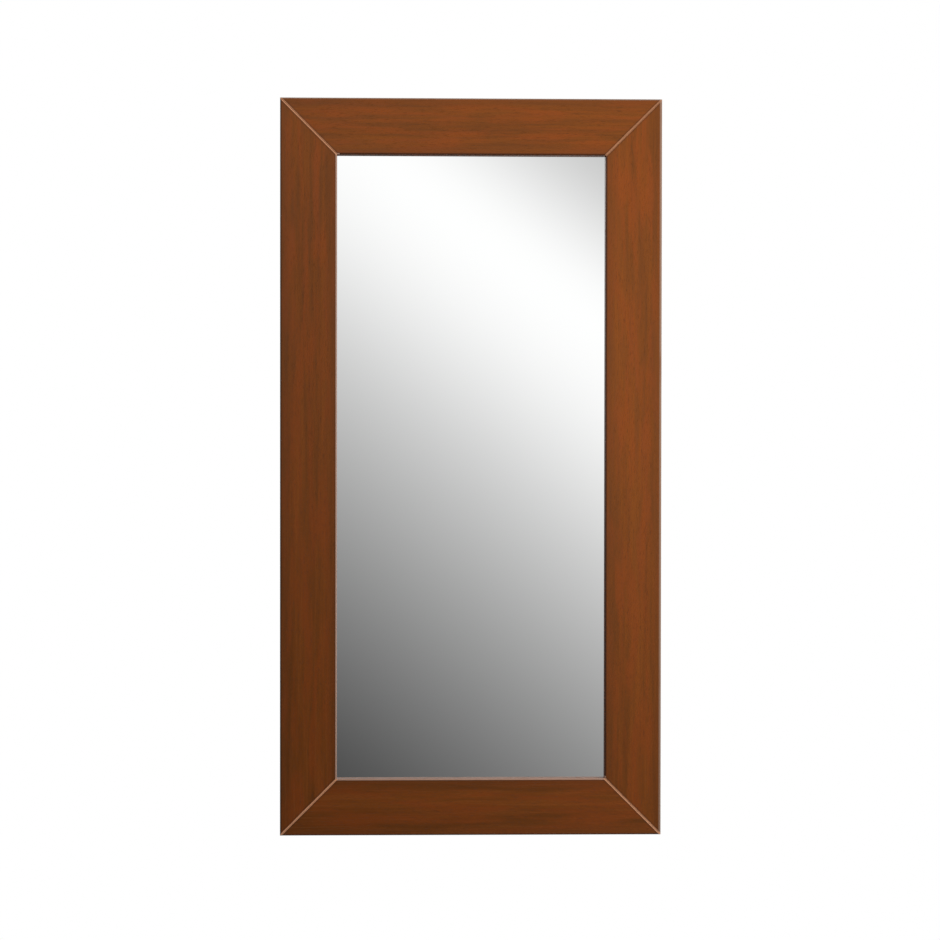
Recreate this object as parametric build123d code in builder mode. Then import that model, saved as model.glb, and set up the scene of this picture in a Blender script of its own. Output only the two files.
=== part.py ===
from build123d import *
import os
from math import sqrt

# Wall-hung medicine cabinet. A mitred wooden frame holds the mirror and is the door, which swings on
# a continuous hinge in front of a shallow wooden carcass with three adjustable glass shelves.
# Lengths are millimetres. X runs to the right as seen from the front, Y into the wall and Z up.
# The origin is the centre of the four wall-screw holes, on the wall plane.

os.makedirs("parts", exist_ok=True)

# Door frame
DOOR_WIDTH = 406.0
DOOR_HEIGHT = 784.0
FACE_WIDTH = 60.0
LIP_THICKNESS = 8.0
RABBET_WIDTH = 10.0
OUTER_ROUND = 2.0
SIGHT_ROUND = 1.2
REAR_EASE = 0.8
MITRE_EASE = 0.6

# Loose tongues in the mitres
TONGUE_THICKNESS = 4.0
TONGUE_WIDTH = 20.0
TONGUE_SETBACK = 17.0
TONGUE_DEPTH = 8.0
TONGUE_CLEARANCE = 0.5

# Mirror, and what holds it in the rabbet
MIRROR_THICKNESS = 4.0
MIRROR_CLEARANCE = 1.5
MIRROR_ARRIS = 0.4
TAPE_THICKNESS = 0.8
TAPE_WIDTH = 6.0
BACKER_THICKNESS = 3.2
BEAD_THICKNESS = 4.0
BEAD_SETBACK = 2.0
BEAD_ROUND = 2.0

# Carcass
CARCASS_DEPTH = 103.0
PANEL_THICKNESS = 16.0
PANEL_EASE = 0.8
BACK_THICKNESS = 5.0
GROOVE_DEPTH = 6.0
GROOVE_CLEARANCE = 0.2
BACK_EDGE_CLEARANCE = 1.0
HOUSING_DEPTH = 6.0

# Hanging rails behind the back panel, and the wall screws' holes
RAIL_HEIGHT = 60.0
RAIL_THICKNESS = 14.0
WALL_HOLE_DIAMETER = 5.5
WALL_HOLE_INSET = 53.0

# Glass shelves, and the pins that carry them
SHELF_THICKNESS = 6.0
SHELF_FRONT_SETBACK = 6.0
SHELF_BACK_GAP = 2.0
SHELF_END_GAP = 1.5
SHELF_CORNER = 3.0
SHELF_NAMES = ("lower", "middle", "upper")
ROW_PITCH = 96.0
ROW_END_MARGIN = 100.0
COLUMN_SETBACK = 20.0
PIN_DIAMETER = 5.0
PIN_CLEARANCE = 0.05
PIN_LENGTH = 9.0
PIN_HOLE_DEPTH = 10.0
TAB_LENGTH = 12.5
TAB_WIDTH = 8.0
TAB_THICKNESS = 2.0
TAB_CORNER = 2.0
PAD_LENGTH = 8.0
PAD_WIDTH = 6.0
PAD_THICKNESS = 0.8

# Continuous hinge
LEAF_THICKNESS = 1.0
LEAF_SETBACK = 2.6
LEAF_CORNER = 2.0
LEAF_CLEARANCE = 0.2
HINGE_PIN_DIAMETER = 2.4
HINGE_PIN_CLEARANCE = 0.05
HINGE_PIN_STAKE = 4.0
KNUCKLE_PITCH = 48.0
KNUCKLE_GAP = 0.3
KNUCKLE_SLIT = 0.3
BARREL_CLEARANCE = 0.35
BARREL_COVER = 1.8
HINGE_END_MARGIN = 10.0
LEAF_HOLE_COUNT = 5
LEAF_HOLE_END = 16.0

# Countersunk screw holes of the hinge leaves and the strike plate
SCREW_HOLE_DIAMETER = 3.0
COUNTERSINK_DIAMETER = 5.0

# Magnetic catch on the right side panel, and the strike plate on the door
CATCH_LENGTH = 34.0
CATCH_WIDTH = 13.0
CATCH_DEPTH = 15.0
CATCH_WALL = 2.0
CATCH_ROUND = 1.5
CATCH_SETBACK = 0.5
CATCH_POCKET_DEPTH = 11.0
CATCH_AIR_GAP = 0.3
EAR_LENGTH = 9.0
EAR_THICKNESS = 3.0
EAR_CORNER = 3.0
EAR_SLOT_LENGTH = 5.0
EAR_SLOT_WIDTH = 3.0
MAGNET_THICKNESS = 4.0
MAGNET_DEPTH = 9.0
POLE_THICKNESS = 1.2
STRIKE_LENGTH = 38.0
STRIKE_WIDTH = 13.0
STRIKE_THICKNESS = 1.5

# Soft bumpers at the door's free corners
BUMPER_DIAMETER = 8.0
BUMPER_EASE = 0.8
BUMPER_AIR_GAP = 0.3
BUMPER_END_DISTANCE = 20.0

# Hinge section, measured from its axis, and how far it sets the carcass in behind the door
pin_radius = HINGE_PIN_DIAMETER / 2
bore_radius = pin_radius + HINGE_PIN_CLEARANCE
knuckle_radius = bore_radius + LEAF_THICKNESS
leaf_root = knuckle_radius + BARREL_CLEARANCE
leaf_reach = leaf_root + PANEL_THICKNESS - LEAF_SETBACK
leaf_middle = (leaf_root + leaf_reach) / 2
overhang = 2 * leaf_root + BARREL_COVER

# Carcass spans, and depths from the wall that grow to the front
carcass_width = DOOR_WIDTH - 2 * overhang
carcass_height = DOOR_HEIGHT - 2 * overhang
inner_width = carcass_width - 2 * PANEL_THICKNESS
inner_height = carcass_height - 2 * PANEL_THICKNESS
back_panel_front = RAIL_THICKNESS + BACK_THICKNESS
hinge_depth = CARCASS_DEPTH + knuckle_radius
hinge_x = -(carcass_width / 2 + leaf_root)
door_back = hinge_depth + knuckle_radius - LEAF_THICKNESS

# Door section, and the spans inside its frame
rabbet_depth = MIRROR_THICKNESS + TAPE_THICKNESS + BACKER_THICKNESS + BEAD_THICKNESS
door_thickness = LIP_THICKNESS + rabbet_depth
rabbet_inset = FACE_WIDTH - RABBET_WIDTH
rabbet_width = DOOR_WIDTH - 2 * rabbet_inset
rabbet_height = DOOR_HEIGHT - 2 * rabbet_inset
mirror_width = rabbet_width - 2 * MIRROR_CLEARANCE
mirror_height = rabbet_height - 2 * MIRROR_CLEARANCE
bead_width = RABBET_WIDTH - BEAD_SETBACK
tongue_inset = rabbet_inset / 2
tongue_length = rabbet_inset * sqrt(2) - 2 * TONGUE_SETBACK

# Hinge length in whole knuckles, short of the mitres, with the carcass leaf's knuckle at both ends
leaf_edge_inset = overhang - leaf_root + leaf_reach
hinge_room = DOOR_HEIGHT - 2 * (leaf_edge_inset + HINGE_END_MARGIN)
knuckle_count = 2 * int(hinge_room / KNUCKLE_PITCH / 2 - 1 / 2) + 1
hinge_length = knuckle_count * KNUCKLE_PITCH
leaf_hole_pitch = (hinge_length - 2 * LEAF_HOLE_END) / (LEAF_HOLE_COUNT - 1)

# Hole rows, shelves and rails
row_count = 2 * int((inner_height / 2 - ROW_END_MARGIN) / ROW_PITCH) + 1
shelf_step = round(inner_height / (len(SHELF_NAMES) + 1) / ROW_PITCH) * ROW_PITCH
shelf_pin_heights = dict(zip(SHELF_NAMES, (-shelf_step, 0, shelf_step)))
shelf_front = CARCASS_DEPTH - SHELF_FRONT_SETBACK
shelf_back = back_panel_front + SHELF_BACK_GAP
shelf_width = inner_width - 2 * SHELF_END_GAP
column_front = CARCASS_DEPTH - COLUMN_SETBACK
column_back = back_panel_front + COLUMN_SETBACK
wall_hole_spacing = inner_width - 2 * WALL_HOLE_INSET
wall_hole_height = inner_height / 2 - RAIL_HEIGHT / 2

# Catch and strike, which meet in the gap between carcass and door
catch_height = shelf_step - ROW_PITCH / 2
catch_front = CARCASS_DEPTH - CATCH_SETBACK
strike_face = door_back - STRIKE_THICKNESS
pocket_width = MAGNET_THICKNESS + 2 * POLE_THICKNESS
pocket_length = CATCH_LENGTH - 2 * CATCH_WALL
pocket_floor = CATCH_DEPTH / 2 - CATCH_POCKET_DEPTH
pole_depth = strike_face - CATCH_AIR_GAP - catch_front + CATCH_POCKET_DEPTH
magnet_x = inner_width / 2 - CATCH_WIDTH / 2
bumper_x = inner_width / 2 + PANEL_THICKNESS / 2
bumper_height = door_back - CARCASS_DEPTH - BUMPER_AIR_GAP


def edge_planes(width, height, depth):
    """Planes on the outer edges of an upright frame: X along the edge, Y outward, Z to the front."""
    return {
        "top": Plane(origin=(0, -depth, height / 2), x_dir=(1, 0, 0), z_dir=(0, -1, 0)),
        "bottom": Plane(origin=(0, -depth, -height / 2), x_dir=(-1, 0, 0), z_dir=(0, -1, 0)),
        "left": Plane(origin=(-width / 2, -depth, 0), x_dir=(0, 0, 1), z_dir=(0, -1, 0)),
        "right": Plane(origin=(width / 2, -depth, 0), x_dir=(0, 0, -1), z_dir=(0, -1, 0)),
    }


def inner_face(side):
    """Inner face of a side panel, -1 left and 1 right: X to the front, Z into the cabinet."""
    return Plane(origin=(side * inner_width / 2, 0, 0), x_dir=(0, -1, 0), z_dir=(-side, 0, 0))


def pin_places(height):
    """Mouths of the four pin holes at one height, with Z into the cabinet."""
    return [
        Plane(origin=(side * inner_width / 2, -depth, height), x_dir=(0, -1, 0), z_dir=(-side, 0, 0))
        for side in (-1, 1)
        for depth in (column_front, column_back)
    ]


# Planes that several pieces are placed on
door_planes = edge_planes(DOOR_WIDTH, DOOR_HEIGHT, door_back)
bead_planes = edge_planes(rabbet_width, rabbet_height, door_back)
door_rear = Plane(origin=(0, -door_back, 0), x_dir=(1, 0, 0), z_dir=(0, 1, 0))
carcass_leaf_plane = Plane(origin=(hinge_x, -hinge_depth, 0), x_dir=(1, 0, 0), z_dir=(0, 0, 1))
door_leaf_plane = Plane(origin=(hinge_x, -hinge_depth, 0), x_dir=(1, 0, 0), z_dir=(0, 0, -1))
catch_plane = Plane(
    origin=(inner_width / 2, -(catch_front - CATCH_DEPTH / 2), catch_height),
    x_dir=(0, 0, -1),
    z_dir=(-1, 0, 0),
)
strike_plane = Plane(origin=(magnet_x, -door_back, catch_height), x_dir=(1, 0, 0), z_dir=(0, 1, 0))


def mitred_strip(outer_length, width, thickness):
    """Strip along X with 45 degree ends, its long edge on Y=0 and its back on Z=0."""
    half = outer_length / 2
    with BuildPart() as strip:
        with BuildSketch():
            with BuildLine():
                Polyline((-half, 0), (width - half, -width), (half - width, -width), (half, 0), close=True)
            make_face()
        extrude(amount=thickness)
    return strip.part


def tongue(clearance=0):
    """Loose tongue along X, or with a clearance at its edges the slot that it is glued in."""
    with BuildPart() as block:
        Box(tongue_length + 2 * clearance, TONGUE_WIDTH + 2 * clearance, TONGUE_THICKNESS)
    return block.part


def frame_member(outer_length):
    """Door rail or stile on its edge plane, with its rabbet, eased arrises and tongue slots."""
    strip = mitred_strip(outer_length, FACE_WIDTH, door_thickness)
    slot = tongue(TONGUE_CLEARANCE)
    slot_places = [
        Plane(
            origin=(end * (outer_length / 2 - tongue_inset), -tongue_inset, TONGUE_DEPTH),
            x_dir=(1, end, 0),
            z_dir=(0, 0, 1),
        )
        for end in (-1, 1)
    ]
    groove_places = [
        Plane(
            origin=(end * (outer_length - FACE_WIDTH) / 2, -FACE_WIDTH / 2, door_thickness),
            x_dir=(1, end, 0),
            z_dir=(-end, 1, sqrt(2)),
        )
        for end in (-1, 1)
    ]
    with BuildPart() as member:
        add(strip)
        with Locations((0, -FACE_WIDTH, 0)):
            Box(outer_length, 2 * RABBET_WIDTH, 2 * rabbet_depth, mode=Mode.SUBTRACT)
        front_arrises = member.edges().filter_by(Axis.X).group_by(Axis.Z)[-1]
        fillet(front_arrises.sort_by(Axis.Y)[-1], OUTER_ROUND)
        front_arrises = member.edges().filter_by(Axis.X).group_by(Axis.Z)[-1]
        fillet(front_arrises.sort_by(Axis.Y)[0], SIGHT_ROUND)
        rear_arrises = member.edges().filter_by(Axis.X).group_by(Axis.Z)[0]
        chamfer(rear_arrises.sort_by(Axis.Y)[-1], REAR_EASE)
        with Locations(*groove_places):
            Box(2 * FACE_WIDTH, MITRE_EASE * sqrt(2), MITRE_EASE * sqrt(2), mode=Mode.SUBTRACT)
        with Locations(*slot_places):
            add(slot, mode=Mode.SUBTRACT)
    return member.part


def bead(outer_length):
    """Mitred bead on its edge plane, with its bare inner arris rounded."""
    strip = mitred_strip(outer_length, bead_width, BEAD_THICKNESS)
    with BuildPart() as piece:
        add(strip)
        fillet(piece.edges().filter_by(Axis.X).group_by(Axis.Z)[0].sort_by(Axis.Y)[0], BEAD_ROUND)
    return piece.part


def hinge_leaf(first_knuckle):
    """Leaf with every second knuckle, on the hinge axis, with its flat on the +Y side of the axis."""
    starts = [
        index * KNUCKLE_PITCH + KNUCKLE_GAP / 2 - hinge_length / 2
        for index in range(first_knuckle, knuckle_count, 2)
    ]
    with BuildPart() as leaf:
        with Locations((leaf_root, bore_radius, 0)):
            Box(
                leaf_reach - leaf_root,
                LEAF_THICKNESS,
                hinge_length,
                align=(Align.MIN, Align.MIN, Align.CENTER),
            )
        fillet(leaf.edges().filter_by(Axis.Y).group_by(Axis.X)[-1], LEAF_CORNER)
        with BuildSketch(*[Plane.XY.offset(start) for start in starts]):
            Circle(knuckle_radius)
            with Locations((0, knuckle_radius)):
                Rectangle(leaf_root, LEAF_THICKNESS, align=(Align.MIN, Align.MAX))
            Circle(bore_radius, mode=Mode.SUBTRACT)
            with Locations((0, bore_radius)):
                Rectangle(knuckle_radius, KNUCKLE_SLIT, align=(Align.MIN, Align.MAX), mode=Mode.SUBTRACT)
        extrude(amount=KNUCKLE_PITCH - KNUCKLE_GAP)
        with Locations(Plane(origin=(leaf_middle, bore_radius, 0), x_dir=(0, 0, 1), z_dir=(0, -1, 0))):
            with GridLocations(leaf_hole_pitch, 1, LEAF_HOLE_COUNT, 1):
                CounterSinkHole(SCREW_HOLE_DIAMETER / 2, COUNTERSINK_DIAMETER / 2)
    return leaf.part


# Door stiles and rails; the left stile is let in for the hinge leaf and its barrel
rail_blank = frame_member(DOOR_WIDTH)
stile_blank = frame_member(DOOR_HEIGHT)

with BuildPart() as door_rail_top:
    with Locations(door_planes["top"]):
        add(rail_blank)
door_rail_top.part.label = "door_rail_top"
export_step(door_rail_top.part, "parts/door_rail_top.step")

with BuildPart() as door_rail_bottom:
    with Locations(door_planes["bottom"]):
        add(rail_blank)
door_rail_bottom.part.label = "door_rail_bottom"
export_step(door_rail_bottom.part, "parts/door_rail_bottom.step")

with BuildPart() as door_stile_left:
    with Locations(door_planes["left"]):
        add(stile_blank)
    with Locations(door_leaf_plane):
        Cylinder(leaf_root, hinge_length + 2 * LEAF_CLEARANCE, mode=Mode.SUBTRACT)
        Box(
            leaf_reach + LEAF_CLEARANCE,
            2 * knuckle_radius,
            hinge_length + 2 * LEAF_CLEARANCE,
            align=(Align.MIN, Align.CENTER, Align.CENTER),
            mode=Mode.SUBTRACT,
        )
door_stile_left.part.label = "door_stile_left"
export_step(door_stile_left.part, "parts/door_stile_left.step")

with BuildPart() as door_stile_right:
    with Locations(door_planes["right"]):
        add(stile_blank)
door_stile_right.part.label = "door_stile_right"
export_step(door_stile_right.part, "parts/door_stile_right.step")

# Loose tongues, one in each corner
tongue_blank = tongue()
with BuildPart() as mitre_tongues:
    corner = Plane(
        origin=(DOOR_WIDTH / 2 - tongue_inset, -door_back - TONGUE_DEPTH, DOOR_HEIGHT / 2 - tongue_inset),
        x_dir=(1, 0, 1),
        z_dir=(0, -1, 0),
    )
    with Locations(corner):
        add(tongue_blank)
    mirror(about=Plane.YZ)
    mirror(about=Plane.XY)
mitre_tongues.part.label = "mitre_tongues"
export_step(mitre_tongues.part, "parts/mitre_tongues.step")

# Mirror against the lip, then the tape, the backer and the beads towards the rear
mirror_depth = door_back + rabbet_depth - MIRROR_THICKNESS
with BuildPart(Plane.XZ.offset(mirror_depth)) as mirror_glass:
    Box(mirror_width, mirror_height, MIRROR_THICKNESS, align=(Align.CENTER, Align.CENTER, Align.MIN))
    chamfer(mirror_glass.faces().filter_by(Axis.Y).edges(), MIRROR_ARRIS)
mirror_glass.part.label = "mirror_glass"
export_step(mirror_glass.part, "parts/mirror_glass.step")

with BuildPart() as mirror_tape:
    with BuildSketch(Plane.XZ.offset(mirror_depth - TAPE_THICKNESS)):
        Rectangle(mirror_width, mirror_height)
        Rectangle(mirror_width - 2 * TAPE_WIDTH, mirror_height - 2 * TAPE_WIDTH, mode=Mode.SUBTRACT)
    extrude(amount=TAPE_THICKNESS)
mirror_tape.part.label = "mirror_tape"
export_step(mirror_tape.part, "parts/mirror_tape.step")

with BuildPart(Plane.XZ.offset(door_back + BEAD_THICKNESS)) as door_backer:
    Box(mirror_width, mirror_height, BACKER_THICKNESS, align=(Align.CENTER, Align.CENTER, Align.MIN))
door_backer.part.label = "door_backer"
export_step(door_backer.part, "parts/door_backer.step")

bead_lengths = {"top": rabbet_width, "bottom": rabbet_width, "left": rabbet_height, "right": rabbet_height}
for side, length in bead_lengths.items():
    bead_blank = bead(length)
    with BuildPart() as door_bead:
        with Locations(bead_planes[side]):
            add(bead_blank)
    door_bead.part.label = f"door_bead_{side}"
    export_step(door_bead.part, f"parts/door_bead_{side}.step")

# Soft bumpers on the door's back, over the right side panel
with BuildPart(door_rear) as door_bumpers:
    with Locations((bumper_x, 0, 0)):
        with GridLocations(1, carcass_height - 2 * BUMPER_END_DISTANCE, 1, 2):
            Cylinder(BUMPER_DIAMETER / 2, bumper_height, align=(Align.CENTER, Align.CENTER, Align.MIN))
    chamfer(door_bumpers.edges().group_by(Axis.Y)[-1], BUMPER_EASE)
door_bumpers.part.label = "door_bumpers"
export_step(door_bumpers.part, "parts/door_bumpers.step")

# Strike plate with one countersunk hole
with BuildPart(strike_plane) as strike_plate:
    Box(STRIKE_WIDTH, STRIKE_LENGTH, STRIKE_THICKNESS, align=(Align.CENTER, Align.CENTER, Align.MIN))
    with Locations((0, 0, STRIKE_THICKNESS)):
        CounterSinkHole(SCREW_HOLE_DIAMETER / 2, COUNTERSINK_DIAMETER / 2)
strike_plate.part.label = "strike_plate"
export_step(strike_plate.part, "parts/strike_plate.step")

# Hinge leaves, and the pin with ends that are staked in the carcass leaf's end knuckles
carcass_leaf_blank = hinge_leaf(0)
door_leaf_blank = hinge_leaf(1)
with BuildPart() as hinge_leaf_carcass:
    with Locations(carcass_leaf_plane):
        add(carcass_leaf_blank)
hinge_leaf_carcass.part.label = "hinge_leaf_carcass"
export_step(hinge_leaf_carcass.part, "parts/hinge_leaf_carcass.step")

with BuildPart() as hinge_leaf_door:
    with Locations(door_leaf_plane):
        add(door_leaf_blank)
hinge_leaf_door.part.label = "hinge_leaf_door"
export_step(hinge_leaf_door.part, "parts/hinge_leaf_door.step")

with BuildPart(carcass_leaf_plane) as hinge_pin:
    Cylinder(pin_radius, hinge_length - KNUCKLE_GAP)
    for end in (-1, 1):
        with Locations((0, 0, end * (hinge_length - KNUCKLE_GAP - HINGE_PIN_STAKE) / 2)):
            Cylinder(bore_radius, HINGE_PIN_STAKE)
hinge_pin.part.label = "hinge_pin"
export_step(hinge_pin.part, "parts/hinge_pin.step")

# Side panels, with housings for the end panels and the hanging rails
for name, side in (("side_panel_left", -1), ("side_panel_right", 1)):
    with BuildPart(inner_face(side)) as panel:
        with Locations((CARCASS_DEPTH / 2, 0, 0)):
            Box(
                CARCASS_DEPTH,
                carcass_height,
                PANEL_THICKNESS,
                align=(Align.CENTER, Align.CENTER, Align.MAX),
            )
        chamfer(panel.edges().filter_by(Axis.Z).group_by(Axis.Y)[0], PANEL_EASE)
        for end in (-1, 1):
            with Locations((CARCASS_DEPTH / 2, end * (inner_height + PANEL_THICKNESS) / 2, 0)):
                Box(
                    CARCASS_DEPTH,
                    PANEL_THICKNESS,
                    HOUSING_DEPTH,
                    align=(Align.CENTER, Align.CENTER, Align.MAX),
                    mode=Mode.SUBTRACT,
                )
            with Locations((RAIL_THICKNESS / 2, end * wall_hole_height, 0)):
                Box(
                    RAIL_THICKNESS,
                    RAIL_HEIGHT,
                    HOUSING_DEPTH,
                    align=(Align.CENTER, Align.CENTER, Align.MAX),
                    mode=Mode.SUBTRACT,
                )
        with Locations((RAIL_THICKNESS, 0, 0)):
            Box(
                BACK_THICKNESS + GROOVE_CLEARANCE,
                inner_height + 2 * GROOVE_DEPTH,
                GROOVE_DEPTH,
                align=(Align.MIN, Align.CENTER, Align.MAX),
                mode=Mode.SUBTRACT,
            )
        with Locations(((column_front + column_back) / 2, 0, 0)):
            with GridLocations(column_front - column_back, ROW_PITCH, 2, row_count):
                Hole(PIN_DIAMETER / 2 + PIN_CLEARANCE, PIN_HOLE_DEPTH)
    panel.part.label = name
    export_step(panel.part, f"parts/{name}.step")

# Top and bottom panels, grooved on their inner faces
for name, level in (("top_panel", 1), ("bottom_panel", -1)):
    inner_level = Plane(origin=(0, 0, level * inner_height / 2), x_dir=(1, 0, 0), z_dir=(0, 0, -level))
    with BuildPart(inner_level) as end_panel:
        with Locations((0, level * CARCASS_DEPTH / 2, 0)):
            Box(
                inner_width + 2 * HOUSING_DEPTH,
                CARCASS_DEPTH,
                PANEL_THICKNESS,
                align=(Align.CENTER, Align.CENTER, Align.MAX),
            )
        chamfer(end_panel.edges().filter_by(Axis.X).group_by(Axis.Y)[0], PANEL_EASE)
        with Locations((0, level * (RAIL_THICKNESS + (BACK_THICKNESS + GROOVE_CLEARANCE) / 2), 0)):
            Box(
                inner_width + 2 * HOUSING_DEPTH,
                BACK_THICKNESS + GROOVE_CLEARANCE,
                GROOVE_DEPTH,
                align=(Align.CENTER, Align.CENTER, Align.MAX),
                mode=Mode.SUBTRACT,
            )
    end_panel.part.label = name
    export_step(end_panel.part, f"parts/{name}.step")

# Back panel and hanging rails, with the wall screws' holes through both
with BuildPart(Plane.XZ.offset(RAIL_THICKNESS)) as back_panel:
    Box(
        inner_width + 2 * (GROOVE_DEPTH - BACK_EDGE_CLEARANCE),
        inner_height + 2 * (GROOVE_DEPTH - BACK_EDGE_CLEARANCE),
        BACK_THICKNESS,
        align=(Align.CENTER, Align.CENTER, Align.MIN),
    )
    with GridLocations(wall_hole_spacing, 2 * wall_hole_height, 2, 2):
        Hole(WALL_HOLE_DIAMETER / 2)
back_panel.part.label = "back_panel"
export_step(back_panel.part, "parts/back_panel.step")

for name, level in (("hanging_rail_upper", 1), ("hanging_rail_lower", -1)):
    with BuildPart(Plane(origin=(0, 0, level * wall_hole_height), x_dir=(1, 0, 0), z_dir=(0, -1, 0))) as rail:
        Box(
            inner_width + 2 * HOUSING_DEPTH,
            RAIL_HEIGHT,
            RAIL_THICKNESS,
            align=(Align.CENTER, Align.CENTER, Align.MIN),
        )
        with GridLocations(wall_hole_spacing, 1, 2, 1):
            Hole(WALL_HOLE_DIAMETER / 2)
    rail.part.label = name
    export_step(rail.part, f"parts/{name}.step")

# Shelf pin in its own frame: the peg runs down Z, and the flat tab that stops it stands up from Z=0
with BuildPart() as shelf_pin:
    Cylinder(PIN_DIAMETER / 2, PIN_LENGTH, align=(Align.CENTER, Align.CENTER, Align.MAX))
    Box(TAB_WIDTH, TAB_THICKNESS, TAB_LENGTH, align=(Align.CENTER, Align.CENTER, Align.MIN))
    chamfer(shelf_pin.edges().filter_by(Axis.Y).group_by(Axis.Z)[-1], TAB_CORNER)

# Glass shelves, each on four pins with a soft pad on every tab
for name, pin_height in shelf_pin_heights.items():
    with BuildPart() as shelf_pins:
        with Locations(*pin_places(pin_height)):
            add(shelf_pin.part)
    shelf_pins.part.label = f"shelf_pins_{name}"
    export_step(shelf_pins.part, f"parts/shelf_pins_{name}.step")

    with BuildPart(Plane.XY.offset(pin_height + TAB_THICKNESS / 2)) as shelf_pads:
        with Locations((0, -(column_front + column_back) / 2, 0)):
            with GridLocations(inner_width - TAB_LENGTH, column_front - column_back, 2, 2):
                Box(PAD_LENGTH, PAD_WIDTH, PAD_THICKNESS, align=(Align.CENTER, Align.CENTER, Align.MIN))
    shelf_pads.part.label = f"shelf_pads_{name}"
    export_step(shelf_pads.part, f"parts/shelf_pads_{name}.step")

    with BuildPart() as glass_shelf:
        with BuildSketch(Plane.XY.offset(pin_height + TAB_THICKNESS / 2 + PAD_THICKNESS)) as outline:
            with Locations((0, -(shelf_front + shelf_back) / 2)):
                Rectangle(shelf_width, shelf_front - shelf_back)
            chamfer(outline.vertices(), SHELF_CORNER)
        extrude(amount=SHELF_THICKNESS)
    glass_shelf.part.label = f"glass_shelf_{name}"
    export_step(glass_shelf.part, f"parts/glass_shelf_{name}.step")

# Magnetic catch: a slotted base with a box that holds the magnet between two pole plates
with BuildPart(catch_plane) as catch_housing:
    with BuildSketch(catch_plane) as base:
        Rectangle(CATCH_LENGTH + 2 * EAR_LENGTH, CATCH_DEPTH)
        chamfer(base.vertices(), EAR_CORNER)
    extrude(amount=EAR_THICKNESS)
    with BuildSketch(catch_plane):
        Rectangle(CATCH_LENGTH, CATCH_DEPTH)
    extrude(amount=CATCH_WIDTH)
    fillet(catch_housing.edges().filter_by(Axis.Y).group_by(Axis.X)[0], CATCH_ROUND)
    with BuildSketch(catch_plane):
        with Locations(*[(end * (CATCH_LENGTH + EAR_LENGTH) / 2, 0) for end in (-1, 1)]):
            SlotOverall(EAR_SLOT_LENGTH, EAR_SLOT_WIDTH, rotation=90)
    extrude(amount=EAR_THICKNESS, mode=Mode.SUBTRACT)
    with Locations((0, pocket_floor, CATCH_WIDTH / 2)):
        Box(
            pocket_length,
            CATCH_POCKET_DEPTH,
            pocket_width,
            align=(Align.CENTER, Align.MIN, Align.CENTER),
            mode=Mode.SUBTRACT,
        )
catch_housing.part.label = "catch_housing"
export_step(catch_housing.part, "parts/catch_housing.step")

with BuildPart(catch_plane) as catch_magnet:
    with Locations((0, pocket_floor, CATCH_WIDTH / 2)):
        Box(pocket_length, MAGNET_DEPTH, MAGNET_THICKNESS, align=(Align.CENTER, Align.MIN, Align.CENTER))
catch_magnet.part.label = "catch_magnet"
export_step(catch_magnet.part, "parts/catch_magnet.step")

with BuildPart(catch_plane) as catch_poles:
    with Locations(*[
        (0, pocket_floor, CATCH_WIDTH / 2 + end * (MAGNET_THICKNESS + POLE_THICKNESS) / 2) for end in (-1, 1)
    ]):
        Box(pocket_length, pole_depth, POLE_THICKNESS, align=(Align.CENTER, Align.MIN, Align.CENTER))
catch_poles.part.label = "catch_poles"
export_step(catch_poles.part, "parts/catch_poles.step")
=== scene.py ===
from math import radians

import bpy
from mathutils import Matrix, Vector


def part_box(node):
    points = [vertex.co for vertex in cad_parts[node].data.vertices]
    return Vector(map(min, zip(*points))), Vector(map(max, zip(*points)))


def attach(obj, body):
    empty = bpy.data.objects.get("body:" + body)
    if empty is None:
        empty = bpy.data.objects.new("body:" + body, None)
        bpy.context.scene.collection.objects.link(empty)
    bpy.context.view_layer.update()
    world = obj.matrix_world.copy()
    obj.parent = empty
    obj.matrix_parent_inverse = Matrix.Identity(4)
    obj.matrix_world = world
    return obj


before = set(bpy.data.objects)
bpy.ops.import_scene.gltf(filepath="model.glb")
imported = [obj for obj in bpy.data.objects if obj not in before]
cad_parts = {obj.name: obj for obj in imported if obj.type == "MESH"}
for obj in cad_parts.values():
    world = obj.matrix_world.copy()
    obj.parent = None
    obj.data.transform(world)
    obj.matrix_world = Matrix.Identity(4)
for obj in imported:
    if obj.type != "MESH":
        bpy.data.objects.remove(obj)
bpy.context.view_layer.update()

# Medicine cabinet: a mitred wooden frame holds the mirror and is the door, in front of a shallow carcass.
# Lengths are metres. X runs to the right as seen from the front, Y into the wall and Z up.

MM = 0.001

# Camera that gives the photograph's view: lens and sensor in millimetres, turns in degrees
SENSOR_WIDTH = 36.0
LENS = 86.45
CAMERA_PLACE = (-0.0654, -2.5264, 0.0266)
CAMERA_PITCH = -0.700
CAMERA_ROLL = -0.07
CAMERA_YAW = -1.531

# Door sizes that the finish follows
DOOR_LOW, DOOR_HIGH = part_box("door_rail_top")[0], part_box("door_rail_top")[1]
HALF_WIDTH = DOOR_HIGH.x
HALF_HEIGHT = DOOR_HIGH.z
FRONT = DOOR_LOW.y
FACE_WIDTH = DOOR_HIGH.z - DOOR_LOW.z
LIP_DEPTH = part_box("mirror_glass")[0].y - FRONT

# Door edges: how far from an edge, or behind the face, the stain, the painted shade and the painted
# highlights reach
FACE_SKIN = 0.9 * MM
ROUND_BACK = (FRONT + 1.4 * MM, FRONT + 2.4 * MM)
LIP_FADE = (FRONT + 1.5 * MM, FRONT + 4.0 * MM)
MITRE_OPENING = 1.5 * MM
# Stain with painted shade reaches this far from the outer edge and from the sight edge
OUTER_STAIN_AND_SHADE = (0.5 * MM, 2.0 * MM)
SIGHT_STAIN_AND_SHADE = (0.8 * MM, 2.6 * MM)
BORDER_STAIN = (3.0 * MM, 15.0 * MM)
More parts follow.
